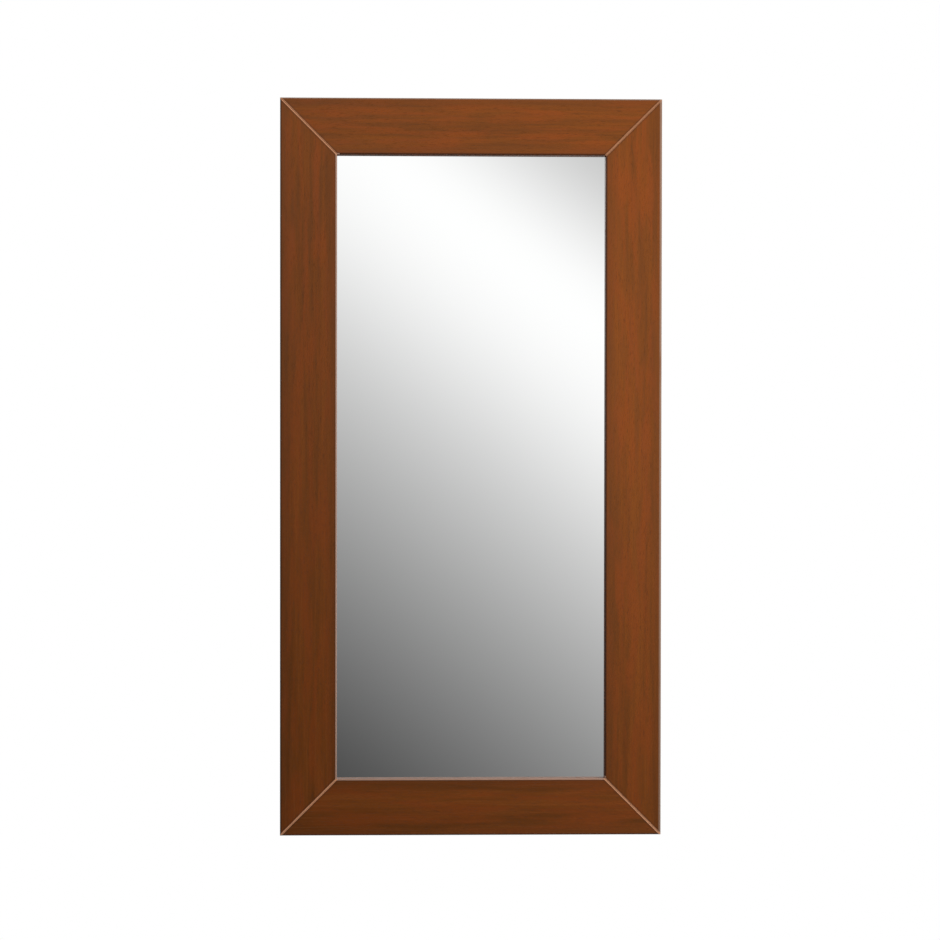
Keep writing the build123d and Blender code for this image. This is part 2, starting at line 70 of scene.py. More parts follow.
# Reach of the painted highlight on the outer round at the right and top
OUTER_HIGHLIGHT_REACH = (1.8 * MM, 3.0 * MM)
TOP_LESS_HIGHLIGHT = 1.1 * MM
# Reach of the painted highlight on the sight edge at the left and below
SIGHT_HIGHLIGHT_REACH = (0.8 * MM, 1.5 * MM)
SIGHT_HIGHLIGHT_BORDER = 3.0 * MM

# Studio: lamps, the floor that fades to the white backdrop, and the glow that gloss reflects
FLOOR_DROP = 0.34
FLOOR_RADIUS = 1.0
FLOOR_TONE = (0.76, 0.76, 0.76, 1.0)
SHADOW_RADIUS = 0.35
WHITE_RADIUS = 0.72
AMBIENT = 0.22
LAMP_AIM = (0.0, -0.12, 0.05)
LAMP_SIZE = 0.25
TOP_PLACE = (-0.10, -0.60, 0.80)
TOP_POWER = 3.8
RIGHT_PLACE = (0.82, -0.62, 0.16)
RIGHT_POWER = 9.8
BACK_AIM = (0.0, 0.0, 0.0)
BACK_PLACE = (-1.5, 1.9, 1.3)
BACK_SIZE = 1.2
BACK_POWER = 24.0
GLOW_LEFT = -0.22
GLOW_RIGHT = 0.14
GLOW_TILT = 0.76
GLOW_BOTTOM = 0.0865
GLOW_TOP = 0.1305
GLOW_AHEAD = (0.72, 0.96)
GLOW_ASIDE = 0.38
GLOW_CURVE = 2.2
GLOW_LEVEL = 1.06
BOTTOM_FADE = {"rate": 2.692, "bend": 0.165, "most": 0.72}
TOP_FADE = {"rate": 3.887, "bend": 0.13, "most": 0.24}
FADE_END_BEND = 0.1

# Fasteners: heads of the countersunk screws, the catch's pan-head screws and the brads
SCREW_HEAD = 4.8 * MM
SCREW_SINK = 1.0 * MM
PAN_HEAD = 5.6 * MM
PAN_RISE = 1.5 * MM
BRAD_HEAD = 1.6 * MM
BRAD_DEPTH = 0.5 * MM
BRAD_RISE = 0.15 * MM
LEAF_THICKNESS = 1.0 * MM
LEAF_SCREW_INSET = 6.7 * MM
LEAF_SCREW_END = 16.0 * MM
LEAF_SCREWS = 5
EAR_THICKNESS = 3.0 * MM
EAR_SCREW_SPREAD = 21.5 * MM

# Wood finish, as light that it sends back
DOOR_LIGHT = (0.186, 0.0490, 0.0052, 1.0)
DOOR_DARK = (0.110, 0.0310, 0.0034, 1.0)
DOOR_RED = (0.196, 0.0420, 0.0050, 1.0)
DOOR_TONES = (DOOR_LIGHT, DOOR_DARK, DOOR_RED)
EDGE_BROWN = (0.102, 0.0295, 0.0052, 1.0)
# Stain with painted shade, for the dark edges and the dark lines along the mitres
STAIN_AND_SHADE = (0.022, 0.008, 0.004, 1.0)
# Painted highlight on the outer round at the right and top
OUTER_HIGHLIGHT = (0.205, 0.122, 0.082, 1.0)
BARE_WOOD = (0.60, 0.300, 0.165, 1.0)
# Painted highlight on the sight edge at the left and below
SIGHT_HIGHLIGHT = (0.365, 0.220, 0.160, 1.0)
PORE_BROWN = (0.03, 0.012, 0.006, 1.0)
DOOR_SHINE = 0.21
DOOR_GLOSS = 0.24
CARCASS_SHINE = 0.42
CARCASS_GLOSS = 0.2
BEECH_LIGHT = (0.60, 0.41, 0.24, 1.0)
BEECH_DARK = (0.46, 0.29, 0.155, 1.0)
BEECH_RED = (0.56, 0.33, 0.19, 1.0)
BEECH_TONES = (BEECH_LIGHT, BEECH_DARK, BEECH_RED)
BEECH_SHINE = 0.5
BEECH_GLOSS = 0.3

# Other finishes
SILVER = (0.955, 0.96, 0.957, 1.0)
SILVER_HAZE = (0.945, 0.95, 0.947, 1.0)
MIRROR_EDGE = (0.25, 0.5, 0.42, 1.0)
CLEAR_GLASS = (0.95, 0.985, 0.97, 1.0)
SHELF_EDGE = (0.42, 0.72, 0.60, 1.0)
BACK_CREAM = (0.66, 0.60, 0.50, 1.0)
BACK_FLECK = (0.52, 0.45, 0.36, 1.0)
BACKER_BROWN = (0.30, 0.20, 0.12, 1.0)
BACKER_FLECK = (0.20, 0.125, 0.07, 1.0)
FOAM_WHITE = (0.75, 0.75, 0.72, 1.0)
PAD_GREY = (0.62, 0.62, 0.58, 1.0)
NICKEL = (0.60, 0.575, 0.53, 1.0)
HINGE_STEEL = (0.47, 0.455, 0.43, 1.0)
PLATE_STEEL = (0.42, 0.425, 0.43, 1.0)
CATCH_BROWN = (0.19, 0.11, 0.065, 1.0)
MAGNET_BLACK = (0.05, 0.05, 0.052, 1.0)


def new_node(tree, kind, **settings):
    """Adds a node of this kind with these settings."""
    made = tree.nodes.new(kind)
    for name, value in settings.items():
        setattr(made, name, value)
    return made


def feed(tree, socket, value):
    """Links an output to a socket, or sets the socket to a plain value."""
    if isinstance(value, bpy.types.NodeSocket):
        tree.links.new(value, socket)
    elif value is not None:
        socket.default_value = value


def maths(tree, operation, *values, clamp=False):
    """One step of arithmetic on numbers or outputs."""
    made = new_node(tree, "ShaderNodeMath", operation=operation, use_clamp=clamp)
    for socket, value in zip(made.inputs, values):
        feed(tree, socket, value)
    return made.outputs["Value"]


def between(tree, value, low, high, start=0.0, end=1.0):
    """Smooth step of a value from low to high."""
    made = new_node(tree, "ShaderNodeMapRange", interpolation_type="SMOOTHSTEP")
    for socket, given in zip(made.inputs, (value, low, high, start, end)):
        feed(tree, socket, given)
    return made.outputs["Result"]


def fade_out(tree, value, low, high):
    """Mask that is full up to low and gone from high on."""
    return between(tree, value, low, high, 1.0, 0.0)


def both(tree, first, second):
    """Mask where two masks meet."""
    return maths(tree, "MULTIPLY", first, second)


def blend_colours(tree, share, first, second, kind="MIX"):
    """Second colour over the first by a share."""
    made = new_node(tree, "ShaderNodeMix", data_type="RGBA", blend_type=kind)
    feed(tree, made.inputs["Factor"], share)
    feed(tree, made.inputs[6], first)
    feed(tree, made.inputs[7], second)
    return made.outputs[2]


def noise(tree, vector, stretch, detail=3.0, roughness=0.55, distortion=0.0):
    """Noise on stretched coordinates, in cycles per metre."""
    mapping = new_node(tree, "ShaderNodeMapping")
    feed(tree, mapping.inputs["Vector"], vector)
    mapping.inputs["Scale"].default_value = stretch
    made = new_node(tree, "ShaderNodeTexNoise")
    feed(tree, made.inputs["Vector"], mapping.outputs["Vector"])
    made.inputs["Scale"].default_value = 1.0
    made.inputs["Detail"].default_value = detail
    made.inputs["Roughness"].default_value = roughness
    made.inputs["Distortion"].default_value = distortion
    return made.outputs[0]


def new_group(name, inputs, outputs):
    """Shader node group with named sockets."""
    tree = bpy.data.node_groups.new(name, "ShaderNodeTree")
    for label, kind, value in inputs:
        socket = tree.interface.new_socket(label, in_out="INPUT", socket_type=kind)
        if value is not None:
            socket.default_value = value
    for label, kind in outputs:
        tree.interface.new_socket(label, in_out="OUTPUT", socket_type=kind)
    return tree, new_node(tree, "NodeGroupInput").outputs, new_node(tree, "NodeGroupOutput").inputs


def place_group(tree, group, **values):
    """Puts a group in a material with its own values."""
    made = new_node(tree, "ShaderNodeGroup", node_tree=group)
    for name, value in values.items():
        feed(tree, made.inputs[name], value)
    return made.outputs


def new_material(name):
    """Material with its tree, its Principled shader and its object coordinates."""
    material = bpy.data.materials.new(name)
    material.use_nodes = True
    tree = material.node_tree
    place = new_node(tree, "ShaderNodeTexCoord").outputs["Object"]
    return material, tree, tree.nodes["Principled BSDF"], place


def add_bump(tree, shader, height, distance, strength=1.0):
    """Bump of a height in metres on the shader."""
    bump = new_node(tree, "ShaderNodeBump")
    bump.inputs["Strength"].default_value = strength
    bump.inputs["Distance"].default_value = distance
    feed(tree, bump.inputs["Height"], height)
    feed(tree, shader.inputs["Normal"], bump.outputs["Normal"])


def turned(tree, vector, along):
    """Coordinates with the grain's direction on X."""
    turns = {"X": (0.0, 0.0, 0.0), "Z": (0.0, radians(90), 0.0)}
    mapping = new_node(tree, "ShaderNodeMapping")
    feed(tree, mapping.inputs["Vector"], vector)
    mapping.inputs["Rotation"].default_value = turns[along]
    return mapping.outputs["Vector"]


def make_wood_grain():
    """Stained close-grained wood with its grain along X: figure, streaks, warm patches and short pores."""
    tree, given, result = new_group(
        "wood_grain",
        [
            ("Vector", "NodeSocketVector", None),
            ("Light", "NodeSocketColor", (0.5, 0.5, 0.5, 1.0)),
            ("Dark", "NodeSocketColor", (0.2, 0.2, 0.2, 1.0)),
            ("Warm", "NodeSocketColor", (0.4, 0.2, 0.2, 1.0)),
            ("Pores", "NodeSocketFloat", 0.5),
            ("Shine", "NodeSocketFloat", 0.4),
        ],
        [
            ("Color", "NodeSocketColor"),
            ("Roughness", "NodeSocketFloat"),
            ("Height", "NodeSocketFloat"),
        ],
    )
    figure = between(tree, noise(tree, given["Vector"], (1.8, 52, 52), 4, 0.55, 0.4), 0.32, 0.68)
    streaks = between(tree, noise(tree, given["Vector"], (12, 330, 330), 4, 0.65), 0.3, 0.7)
    patches = between(tree, noise(tree, given["Vector"], (12, 95, 95), 3, 0.55, 0.3), 0.40, 0.64)
    pores = between(tree, noise(tree, given["Vector"], (150, 2100, 2100), 1, 0.5), 0.60, 0.70)
    pores = maths(tree, "MULTIPLY", pores, given["Pores"])
    tone = maths(tree, "MULTIPLY_ADD", figure, 0.5, maths(tree, "MULTIPLY", streaks, 0.5))
    colour = blend_colours(tree, tone, given["Dark"], given["Light"])
    colour = blend_colours(tree, maths(tree, "MULTIPLY", patches, 0.65), colour, given["Warm"])
    colour = blend_colours(tree, maths(tree, "MULTIPLY", pores, 0.5), colour, PORE_BROWN)
    feed(tree, result["Color"], colour)
    rough = maths(tree, "MULTIPLY_ADD", streaks, 0.08, given["Shine"])
    feed(tree, result["Roughness"], maths(tree, "MULTIPLY_ADD", pores, 0.2, rough))
    relief = maths(tree, "MULTIPLY", streaks, 0.25)
    feed(tree, result["Height"], maths(tree, "SUBTRACT", relief, pores))
    return tree


def make_frame_edges():
    """Masks on the door: wood bared along the mitres, stain and painted shade at the edges and along the
    mitres, painted highlights on the edges.
    """
    tree, given, result = new_group(
        "frame_edges",
        [
            ("Vector", "NodeSocketVector", None),
            ("Mitre", "NodeSocketFloat", 0.001),
            ("Face", "NodeSocketFloat", 0.05),
        ],
        [
            ("Bare", "NodeSocketFloat"),
            ("Shade", "NodeSocketFloat"),
            ("Arris", "NodeSocketFloat"),
            ("Edge_highlight", "NodeSocketFloat"),
            ("Border", "NodeSocketFloat"),
            ("Sight", "NodeSocketFloat"),
        ],
    )
    place = new_node(tree, "ShaderNodeSeparateXYZ")
    feed(tree, place.inputs[0], given["Vector"])
    across, back, up = place.outputs["X"], place.outputs["Y"], place.outputs["Z"]
    from_side = maths(tree, "SUBTRACT", HALF_WIDTH, maths(tree, "ABSOLUTE", across))
    from_end = maths(tree, "SUBTRACT", HALF_HEIGHT, maths(tree, "ABSOLUTE", up))
    from_edge = maths(tree, "MINIMUM", from_side, from_end)
    from_sight = maths(tree, "ABSOLUTE", maths(tree, "SUBTRACT", given["Face"], from_edge))
    in_front = maths(tree, "LESS_THAN", back, FRONT + FACE_SKIN)
    on_round = fade_out(tree, back, *ROUND_BACK)

    # Mitres: a bare line that wavers, palest at the lower left, with stain and the groove's painted shade
    # along it
    from_mitre = maths(tree, "ABSOLUTE", maths(tree, "SUBTRACT", from_side, from_end))
    waver = maths(tree, "MULTIPLY_ADD", noise(tree, given["Vector"], (90, 90, 90), 2), 0.5, 0.75)
    width = maths(tree, "MULTIPLY", given["Mitre"], waver)
    core, rim = maths(tree, "MULTIPLY", width, 0.65), maths(tree, "MULTIPLY", width, 1.2)
    bare = both(tree, fade_out(tree, from_mitre, core, rim), in_front)
    lower = maths(tree, "MULTIPLY_ADD", up, -0.6, 0.76)
    opened = maths(tree, "MULTIPLY_ADD", across, -0.7, lower, clamp=True)
    feed(tree, result["Bare"], both(tree, bare, opened))
    shade = fade_out(tree, from_mitre, width, maths(tree, "MULTIPLY", given["Mitre"], 3.2))
    feed(tree, result["Shade"], both(tree, shade, in_front))

    # Outer edge: a painted highlight at the right and along the top, dark elsewhere with stain and painted
    # shade
    right = maths(tree, "SUBTRACT", HALF_WIDTH, across)
    top = maths(tree, "SUBTRACT", HALF_HEIGHT + TOP_LESS_HIGHLIGHT, up)
    lit_outer_edge = fade_out(tree, maths(tree, "MINIMUM", right, top), *OUTER_HIGHLIGHT_REACH)
    # Noise that breaks up the painted highlight
    pale_share = between(tree, noise(tree, given["Vector"], (40, 40, 14), 3), 0.25, 0.5, 0.55, 1.0)
    lit_outer_edge = both(tree, both(tree, lit_outer_edge, pale_share), on_round)
    feed(tree, result["Edge_highlight"], lit_outer_edge)
    outer = both(tree, fade_out(tree, from_edge, *OUTER_STAIN_AND_SHADE), on_round)
    outer = both(tree, outer, maths(tree, "SUBTRACT", 1.0, lit_outer_edge))
    inner = both(tree, fade_out(tree, from_sight, *SIGHT_STAIN_AND_SHADE), in_front)
    feed(tree, result["Arris"], maths(tree, "MAXIMUM", outer, inner))

    # Sight edge: a painted highlight at the left and below, less towards the glass
    left = maths(tree, "LESS_THAN", across, SIGHT_HIGHLIGHT_BORDER - HALF_WIDTH + FACE_WIDTH)
    below = maths(tree, "LESS_THAN", up, SIGHT_HIGHLIGHT_BORDER - HALF_HEIGHT + FACE_WIDTH)
    sight_highlight_side = maths(tree, "MULTIPLY", maths(tree, "MAXIMUM", left, below), 0.9)
    on_lip = maths(tree, "LESS_THAN", back, FRONT + LIP_DEPTH)
    on_lip = both(tree, on_lip, between(tree, back, *LIP_FADE, 1.0, 0.3))
    sight = both(tree, fade_out(tree, from_sight, *SIGHT_HIGHLIGHT_REACH), on_lip)
    feed(tree, result["Sight"], both(tree, sight, sight_highlight_side))
    border = fade_out(tree, maths(tree, "MINIMUM", from_edge, from_sight), *BORDER_STAIN)
    feed(tree, result["Border"], both(tree, border, in_front))
    return tree


def make_fine_wear():
    """Faint scuffs and specks for metal, plastic and rubber: a tone, a roughness and a height."""
    tree, given, result = new_group(
        "fine_wear",
        [
            ("Vector", "NodeSocketVector", None),
            ("Tone", "NodeSocketColor", (0.5, 0.5, 0.5, 1.0)),
            ("Roughness", "NodeSocketFloat", 0.3),
            ("Amount", "NodeSocketFloat", 0.1),
        ],
        [
            ("Color", "NodeSocketColor"),
            ("Roughness", "NodeSocketFloat"),
            ("Height", "NodeSocketFloat"),
        ],
    )
    brushed = noise(tree, given["Vector"], (3500, 3500, 60), 2, 0.5)
    clouded = noise(tree, given["Vector"], (45, 45, 45), 3, 0.6)
    swing = maths(tree, "MULTIPLY", maths(tree, "SUBTRACT", clouded, 0.5), given["Amount"])
    value = maths(tree, "MULTIPLY_ADD", swing, 1.2, 1.0)
    grey = new_node(tree, "ShaderNodeCombineColor")
    for channel in ("Red", "Green", "Blue"):
        feed(tree, grey.inputs[channel], value)
    feed(tree, result["Color"], blend_colours(tree, 1.0, given["Tone"], grey.outputs[0], "MULTIPLY"))
    lines = maths(tree, "SUBTRACT", brushed, 0.5)
    rough = maths(tree, "MULTIPLY_ADD", lines, given["Amount"], given["Roughness"])
    feed(tree, result["Roughness"], maths(tree, "ADD", rough, swing))
    feed(tree, result["Height"], brushed)
    return tree


wood_grain = make_wood_grain()
frame_edges = make_frame_edges()
fine_wear = make_fine_wear()


def place_grain(tree, place, along, tones, pores, shine):
    """Wood grain in a material, along one axis and in its light, dark and warm tones."""
    vector = turned(tree, place, along)
    light, dark, warm = tones
    return place_group(
        tree,
        wood_grain,
        Vector=vector,
        Light=light,
        Dark=dark,
        Warm=warm,
        Pores=pores,
        Shine=shine,
    )


def finish_grain(tree, shader, grain, gloss):
    """Gloss of a wood and the relief of its grain."""
    shader.inputs["Specular IOR Level"].default_value = gloss
    add_bump(tree, shader, grain["Height"], 0.04 * MM, 0.5)


def make_door_wood(name, along):
    """Reddish-brown stained frame wood under satin lacquer, with the grain along each member."""
    material, tree, shader, place = new_material(name)
    grain = place_grain(tree, place, along, DOOR_TONES, 0.7, DOOR_SHINE)
    edges = place_group(tree, frame_edges, Vector=place, Mitre=MITRE_OPENING, Face=FACE_WIDTH)
    colour = blend_colours(tree, maths(tree, "MULTIPLY", edges["Border"], 0.45), grain["Color"], EDGE_BROWN)
    # Stain and painted shade on the edges and along the mitres
    colour = blend_colours(tree, maths(tree, "MULTIPLY", edges["Arris"], 0.75), colour, STAIN_AND_SHADE)
    colour = blend_colours(tree, maths(tree, "MULTIPLY", edges["Shade"], 0.40), colour, STAIN_AND_SHADE)
    # Painted highlights: the sight edge at the left and below, the outer round at the right and top
    colour = blend_colours(tree, edges["Sight"], colour, SIGHT_HIGHLIGHT)
    colour = blend_colours(tree, edges["Edge_highlight"], colour, OUTER_HIGHLIGHT)
    colour = blend_colours(tree, edges["Bare"], colour, BARE_WOOD)
    feed(tree, shader.inputs["Base Color"], colour)
    # Rougher where the painted highlights and the bare wood are
    pale_share = maths(tree, "MAXIMUM", maths(tree, "MAXIMUM", edges["Sight"], edges["Edge_highlight"]), edges["Bare"])
    feed(tree, shader.inputs["Roughness"], maths(tree, "MULTIPLY_ADD", pale_share, 0.35, grain["Roughness"]))
    finish_grain(tree, shader, grain, DOOR_GLOSS)
    return material


def make_plain_wood(name, along, tones, shine, gloss):
    """Wood of the carcass, the beads, the hanging rails and the tongues."""
    material, tree, shader, place = new_material(name)
    grain = place_grain(tree, place, along, tones, 0.6, shine)
    feed(tree, shader.inputs["Base Color"], grain["Color"])
    feed(tree, shader.inputs["Roughness"], grain["Roughness"])
    finish_grain(tree, shader, grain, gloss)
    return material


def make_board(name, tone, speck):
    """Thin board with a faint fibre fleck."""
    material, tree, shader, place = new_material(name)
    fibre = between(tree, noise(tree, place, (900, 900, 900), 4, 0.7), 0.35, 0.65)
    cloud = between(tree, noise(tree, place, (14, 14, 14), 3, 0.5), 0.3, 0.7)
    colour = blend_colours(tree, maths(tree, "MULTIPLY", fibre, 0.35), tone, speck)
    colour = blend_colours(tree, maths(tree, "MULTIPLY", cloud, 0.2), colour, speck)
    feed(tree, shader.inputs["Base Color"], colour)
    feed(tree, shader.inputs["Roughness"], maths(tree, "MULTIPLY_ADD", fibre, 0.15, 0.55))
    add_bump(tree, shader, fibre, 0.05 * MM, 0.5)
    return material


def make_metal(name, tone, roughness, amount=0.12):
    """Plated or rolled steel with a fine brushed finish."""
    material, tree, shader, place = new_material(name)
    wear = place_group(tree, fine_wear, Vector=place, Tone=tone, Roughness=roughness, Amount=amount)
    feed(tree, shader.inputs["Base Color"], wear["Color"])
    feed(tree, shader.inputs["Roughness"], wear["Roughness"])
    shader.inputs["Metallic"].default_value = 1.0
    add_bump(tree, shader, wear["Height"], 0.01 * MM, 0.3)
    return material


def make_plastic(name, tone, roughness):
    """Moulded plastic, rubber or foam with a faint grain."""
    material, tree, shader, place = new_material(name)
    wear = place_group(tree, fine_wear, Vector=place, Tone=tone, Roughness=roughness, Amount=0.15)
    pebble = noise(tree, place, (2600, 2600, 2600), 2, 0.5)
    feed(tree, shader.inputs["Base Color"], wear["Color"])
    feed(tree, shader.inputs["Roughness"], wear["Roughness"])
    add_bump(tree, shader, pebble, 0.03 * MM, 0.4)
    return material


def on_thin_edge(tree, axis):
    """Mask of the faces that look along the sheet and not along its thickness."""
    facing = new_node(tree, "ShaderNodeSeparateXYZ")
    feed(tree, facing.inputs[0], new_node(tree, "ShaderNodeNewGeometry").outputs["True Normal"])
    return maths(tree, "LESS_THAN", maths(tree, "ABSOLUTE", facing.outputs[axis]), 0.5)


def make_mirror():
    """Silvered glass: clean in front, greenish on its ground edge."""
    material, tree, shader, place = new_material("mirror_silver")
    on_edge = on_thin_edge(tree, "Y")
    haze = between(tree, noise(tree, place, (6, 6, 6), 2, 0.5), 0.4, 0.7)
    silver = blend_colours(tree, maths(tree, "MULTIPLY", haze, 0.4), SILVER, SILVER_HAZE)
    feed(tree, shader.inputs["Base Color"], blend_colours(tree, on_edge, silver, MIRROR_EDGE))
    feed(tree, shader.inputs["Roughness"], maths(tree, "MULTIPLY", on_edge, 0.4))
    shader.inputs["Metallic"].default_value = 1.0
    return material


def make_shelf_glass():
    """Clear float glass with polished green edges."""
    material, tree, shader, place = new_material("float_glass")
    on_edge = on_thin_edge(tree, "Z")
    smear = between(tree, noise(tree, place, (30, 30, 30), 3, 0.6), 0.45, 0.75)
    feed(tree, shader.inputs["Base Color"], blend_colours(tree, on_edge, CLEAR_GLASS, SHELF_EDGE))
    smear = maths(tree, "MULTIPLY", smear, 0.02)
    feed(tree, shader.inputs["Roughness"], maths(tree, "MULTIPLY_ADD", on_edge, 0.12, smear))
    shader.inputs["Transmission Weight"].default_value = 1.0
    shader.inputs["IOR"].default_value = 1.52
    return material


def dress(material, *names):
    """Gives CAD nodes one material."""
    for name in names:
        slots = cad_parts[name].data.materials
        slots.clear()
        slots.append(material)


def dress_cad_nodes():
    """Finish of every piece that the frame brings, and the plate steel for the fasteners."""
    dress(make_door_wood("door_wood_upright", "Z"), "door_stile_left", "door_stile_right")
    dress(make_door_wood("door_wood_level", "X"), "door_rail_top", "door_rail_bottom")
    upright = make_plain_wood("carcass_wood_upright", "Z", DOOR_TONES, CARCASS_SHINE, CARCASS_GLOSS)
    level = make_plain_wood("carcass_wood_level", "X", DOOR_TONES, CARCASS_SHINE, CARCASS_GLOSS)
    dress(upright, "side_panel_left", "side_panel_right", "door_bead_left", "door_bead_right")
    dress(level, "top_panel", "bottom_panel", "door_bead_top", "door_bead_bottom")
    beech = make_plain_wood("beech", "X", BEECH_TONES, BEECH_SHINE, BEECH_GLOSS)
    dress(beech, "hanging_rail_upper", "hanging_rail_lower", "mitre_tongues")
    dress(make_board("back_board", BACK_CREAM, BACK_FLECK), "back_panel")
    dress(make_board("backer_board", BACKER_BROWN, BACKER_FLECK), "door_backer")
    dress(make_mirror(), "mirror_glass")
    dress(make_plastic("foam_tape", FOAM_WHITE, 0.8), "mirror_tape")
    soft = make_plastic("soft_pad", PAD_GREY, 0.35)
    dress(soft, "door_bumpers", "shelf_pads_lower", "shelf_pads_middle", "shelf_pads_upper")
    dress(make_shelf_glass(), "glass_shelf_lower", "glass_shelf_middle", "glass_shelf_upper")
    nickel = make_metal("nickel", NICKEL, 0.26)
    dress(nickel, "shelf_pins_lower", "shelf_pins_middle", "shelf_pins_upper")
    hinge = make_metal("hinge_metal", HINGE_STEEL, 0.40)
    dress(hinge, "hinge_leaf_carcass", "hinge_leaf_door", "hinge_pin")
    steel = make_metal("plate_steel", PLATE_STEEL, 0.38)
    dress(steel, "strike_plate", "catch_poles")
    dress(make_plastic("catch_plastic", CATCH_BROWN, 0.42), "catch_housing")
    dress(make_plastic("ferrite", MAGNET_BLACK, 0.6), "catch_magnet")
    return steel


def clear_selection():
    """Leaves nothing selected."""
    bpy.ops.object.select_all(action="DESELECT")


def select_only(piece):
    """Leaves this piece selected and active."""
    clear_selection()
    piece.select_set(True)
    bpy.context.view_layer.objects.active = piece


def pick_faces(piece, wanted):
    """Goes into edit mode with the faces selected that the test wants."""
    bpy.ops.object.mode_set(mode="EDIT")
    bpy.ops.mesh.select_mode(type="FACE")
    bpy.ops.mesh.select_all(action="DESELECT")
    bpy.ops.object.mode_set(mode="OBJECT")
    for face in piece.data.polygons:
        face.select = wanted(face)
    bpy.ops.object.mode_set(mode="EDIT")


def faces_up(face):
    """True on a face that looks up."""
    return face.normal.z > 0.9


def faces_down(face):
    """True on a face that looks down."""
    return face.normal.z < -0.9


def start_round(name, radius, depth, corners):
    """Short round bar whose top is at the origin, facing up."""
    clear_selection()
    middle = (0.0, 0.0, -depth / 2)
    bpy.ops.mesh.primitive_cylinder_add(vertices=corners, radius=radius, depth=depth, location=middle)
    piece = bpy.context.object
    piece.name = name
    bpy.ops.object.transform_apply(location=True, rotation=True, scale=True)
    return piece


def crown_top(piece, ring, rise, steps):
    """Raises the top in rings, each smaller than the one before, to a low dome."""
    pick_faces(piece, faces_up)
    for step in range(steps):
        bpy.ops.mesh.inset(thickness=ring, depth=0.0)
        bpy.ops.transform.translate(value=(0, 0, rise * (steps - step) / steps))
    bpy.ops.object.mode_set(mode="OBJECT")


def cut_cross(piece, span, width, depth, top):
    """Cuts a cross recess with tapered wings into the top."""
    clear_selection()
    bpy.ops.mesh.primitive_cube_add(size=1.0, location=(0, 0, top - depth / 2 + width / 2))
    tool = bpy.context.object
    tool.scale = (width, width, depth + width)
    bpy.ops.object.transform_apply(location=True, rotation=True, scale=True)
    for side in (Vector((1, 0, 0)), Vector((-1, 0, 0)), Vector((0, 1, 0)), Vector((0, -1, 0))):
        pick_faces(tool, lambda face: face.normal.dot(side) > 0.9 and face.center.dot(side) < width)
        reach = side * (span - width) / 2
        bpy.ops.mesh.extrude_region_move(TRANSFORM_OT_translate={"value": reach})
        bpy.ops.object.mode_set(mode="OBJECT")
    pick_faces(tool, faces_down)
    bpy.ops.transform.resize(value=(0.45, 0.45, 1.0))
    bpy.ops.mesh.select_all(action="SELECT")
    bpy.ops.mesh.normals_make_consistent(inside=False)
    bpy.ops.object.mode_set(mode="OBJECT")
    cut = piece.modifiers.new("recess", "BOOLEAN")
    cut.operation = "DIFFERENCE"
    cut.solver = "EXACT"
    cut.object = tool
    select_only(piece)
    bpy.ops.object.modifier_apply(modifier=cut.name)
    bpy.data.objects.remove(tool, do_unlink=True)


def finish_round(piece, material):
    """Smooths the turned faces, keeps the crisp edges and gives the finish."""
    select_only(piece)
    bpy.ops.object.shade_smooth_by_angle(angle=radians(32))
    piece.data.materials.clear()
    piece.data.materials.append(material)


def make_countersunk_screw(material):
    """Flush screw head: a cone under a slightly crowned top with a cross recess."""
    screw = start_round("countersunk_screw", SCREW_HEAD / 2, SCREW_SINK, corners=28)
    pick_faces(screw, faces_down)
    bpy.ops.transform.resize(value=(0.56, 0.56, 1.0))
    bpy.ops.object.mode_set(mode="OBJECT")
    crown_top(screw, ring=0.35 * MM, rise=0.04 * MM, steps=2)
    cut_cross(screw, span=2.9 * MM, width=0.62 * MM, depth=0.75 * MM, top=0.06 * MM)
    finish_round(screw, material)
    return screw


def make_pan_screw(material):
    """Round-topped screw head that stands on the catch's ear, with a cross recess."""
    rim = 0.6 * PAN_RISE
    screw = start_round("pan_screw", PAN_HEAD / 2, rim, corners=28)
    crown_top(screw, ring=0.42 * MM, rise=0.25 * PAN_RISE, steps=3)
    screw.data.transform(Matrix.Translation((0, 0, rim)))
    cut_cross(screw, span=3.1 * MM, width=0.66 * MM, depth=1.0 * MM, top=1.1 * PAN_RISE)
    finish_round(screw, material)
    return screw


def make_brad(material):
    """Small domed brad head."""
    brad = start_round("brad", BRAD_HEAD / 2, BRAD_DEPTH, corners=14)
    crown_top(brad, ring=0.2 * MM, rise=0.5 * BRAD_RISE, steps=2)
    finish_round(brad, material)
    return brad


def fit_copy(master, name, spot, facing, turn, body):
    """Copy of a fastener with its own mesh, its top at the spot and turned to face outwards."""
    piece = master.copy()
    piece.data = master.data.copy()
    piece.name = name
    bpy.context.scene.collection.objects.link(piece)
    facing_turn = Vector(facing).to_track_quat("Z", "Y").to_matrix().to_4x4()
    own_turn = Matrix.Rotation(radians(turn), 4, "Z")
    piece.data.transform(Matrix.Translation(spot) @ facing_turn @ own_turn)
    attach(piece, body)
    return piece


def fit_leaf_screws(master):
    """Screws in both leaves of the long hinge, one behind the other when the door is shut."""
    for leaf, body, facing in (("carcass", "cabinet", -1), ("door", "door", 1)):
        low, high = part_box("hinge_leaf_" + leaf)
        across = high.x - LEAF_SCREW_INSET
        face = high.y - LEAF_THICKNESS if facing < 0 else low.y + LEAF_THICKNESS
        first = low.z + LEAF_SCREW_END
        pitch = (high.z - low.z - 2 * LEAF_SCREW_END) / (LEAF_SCREWS - 1)
        for place in range(LEAF_SCREWS):
            spot = (across, face, first + place * pitch)
            name = f"hinge_screw_{leaf}_{place + 1}"
            fit_copy(master, name, spot, (0, facing, 0), 17 + 53 * place, body)


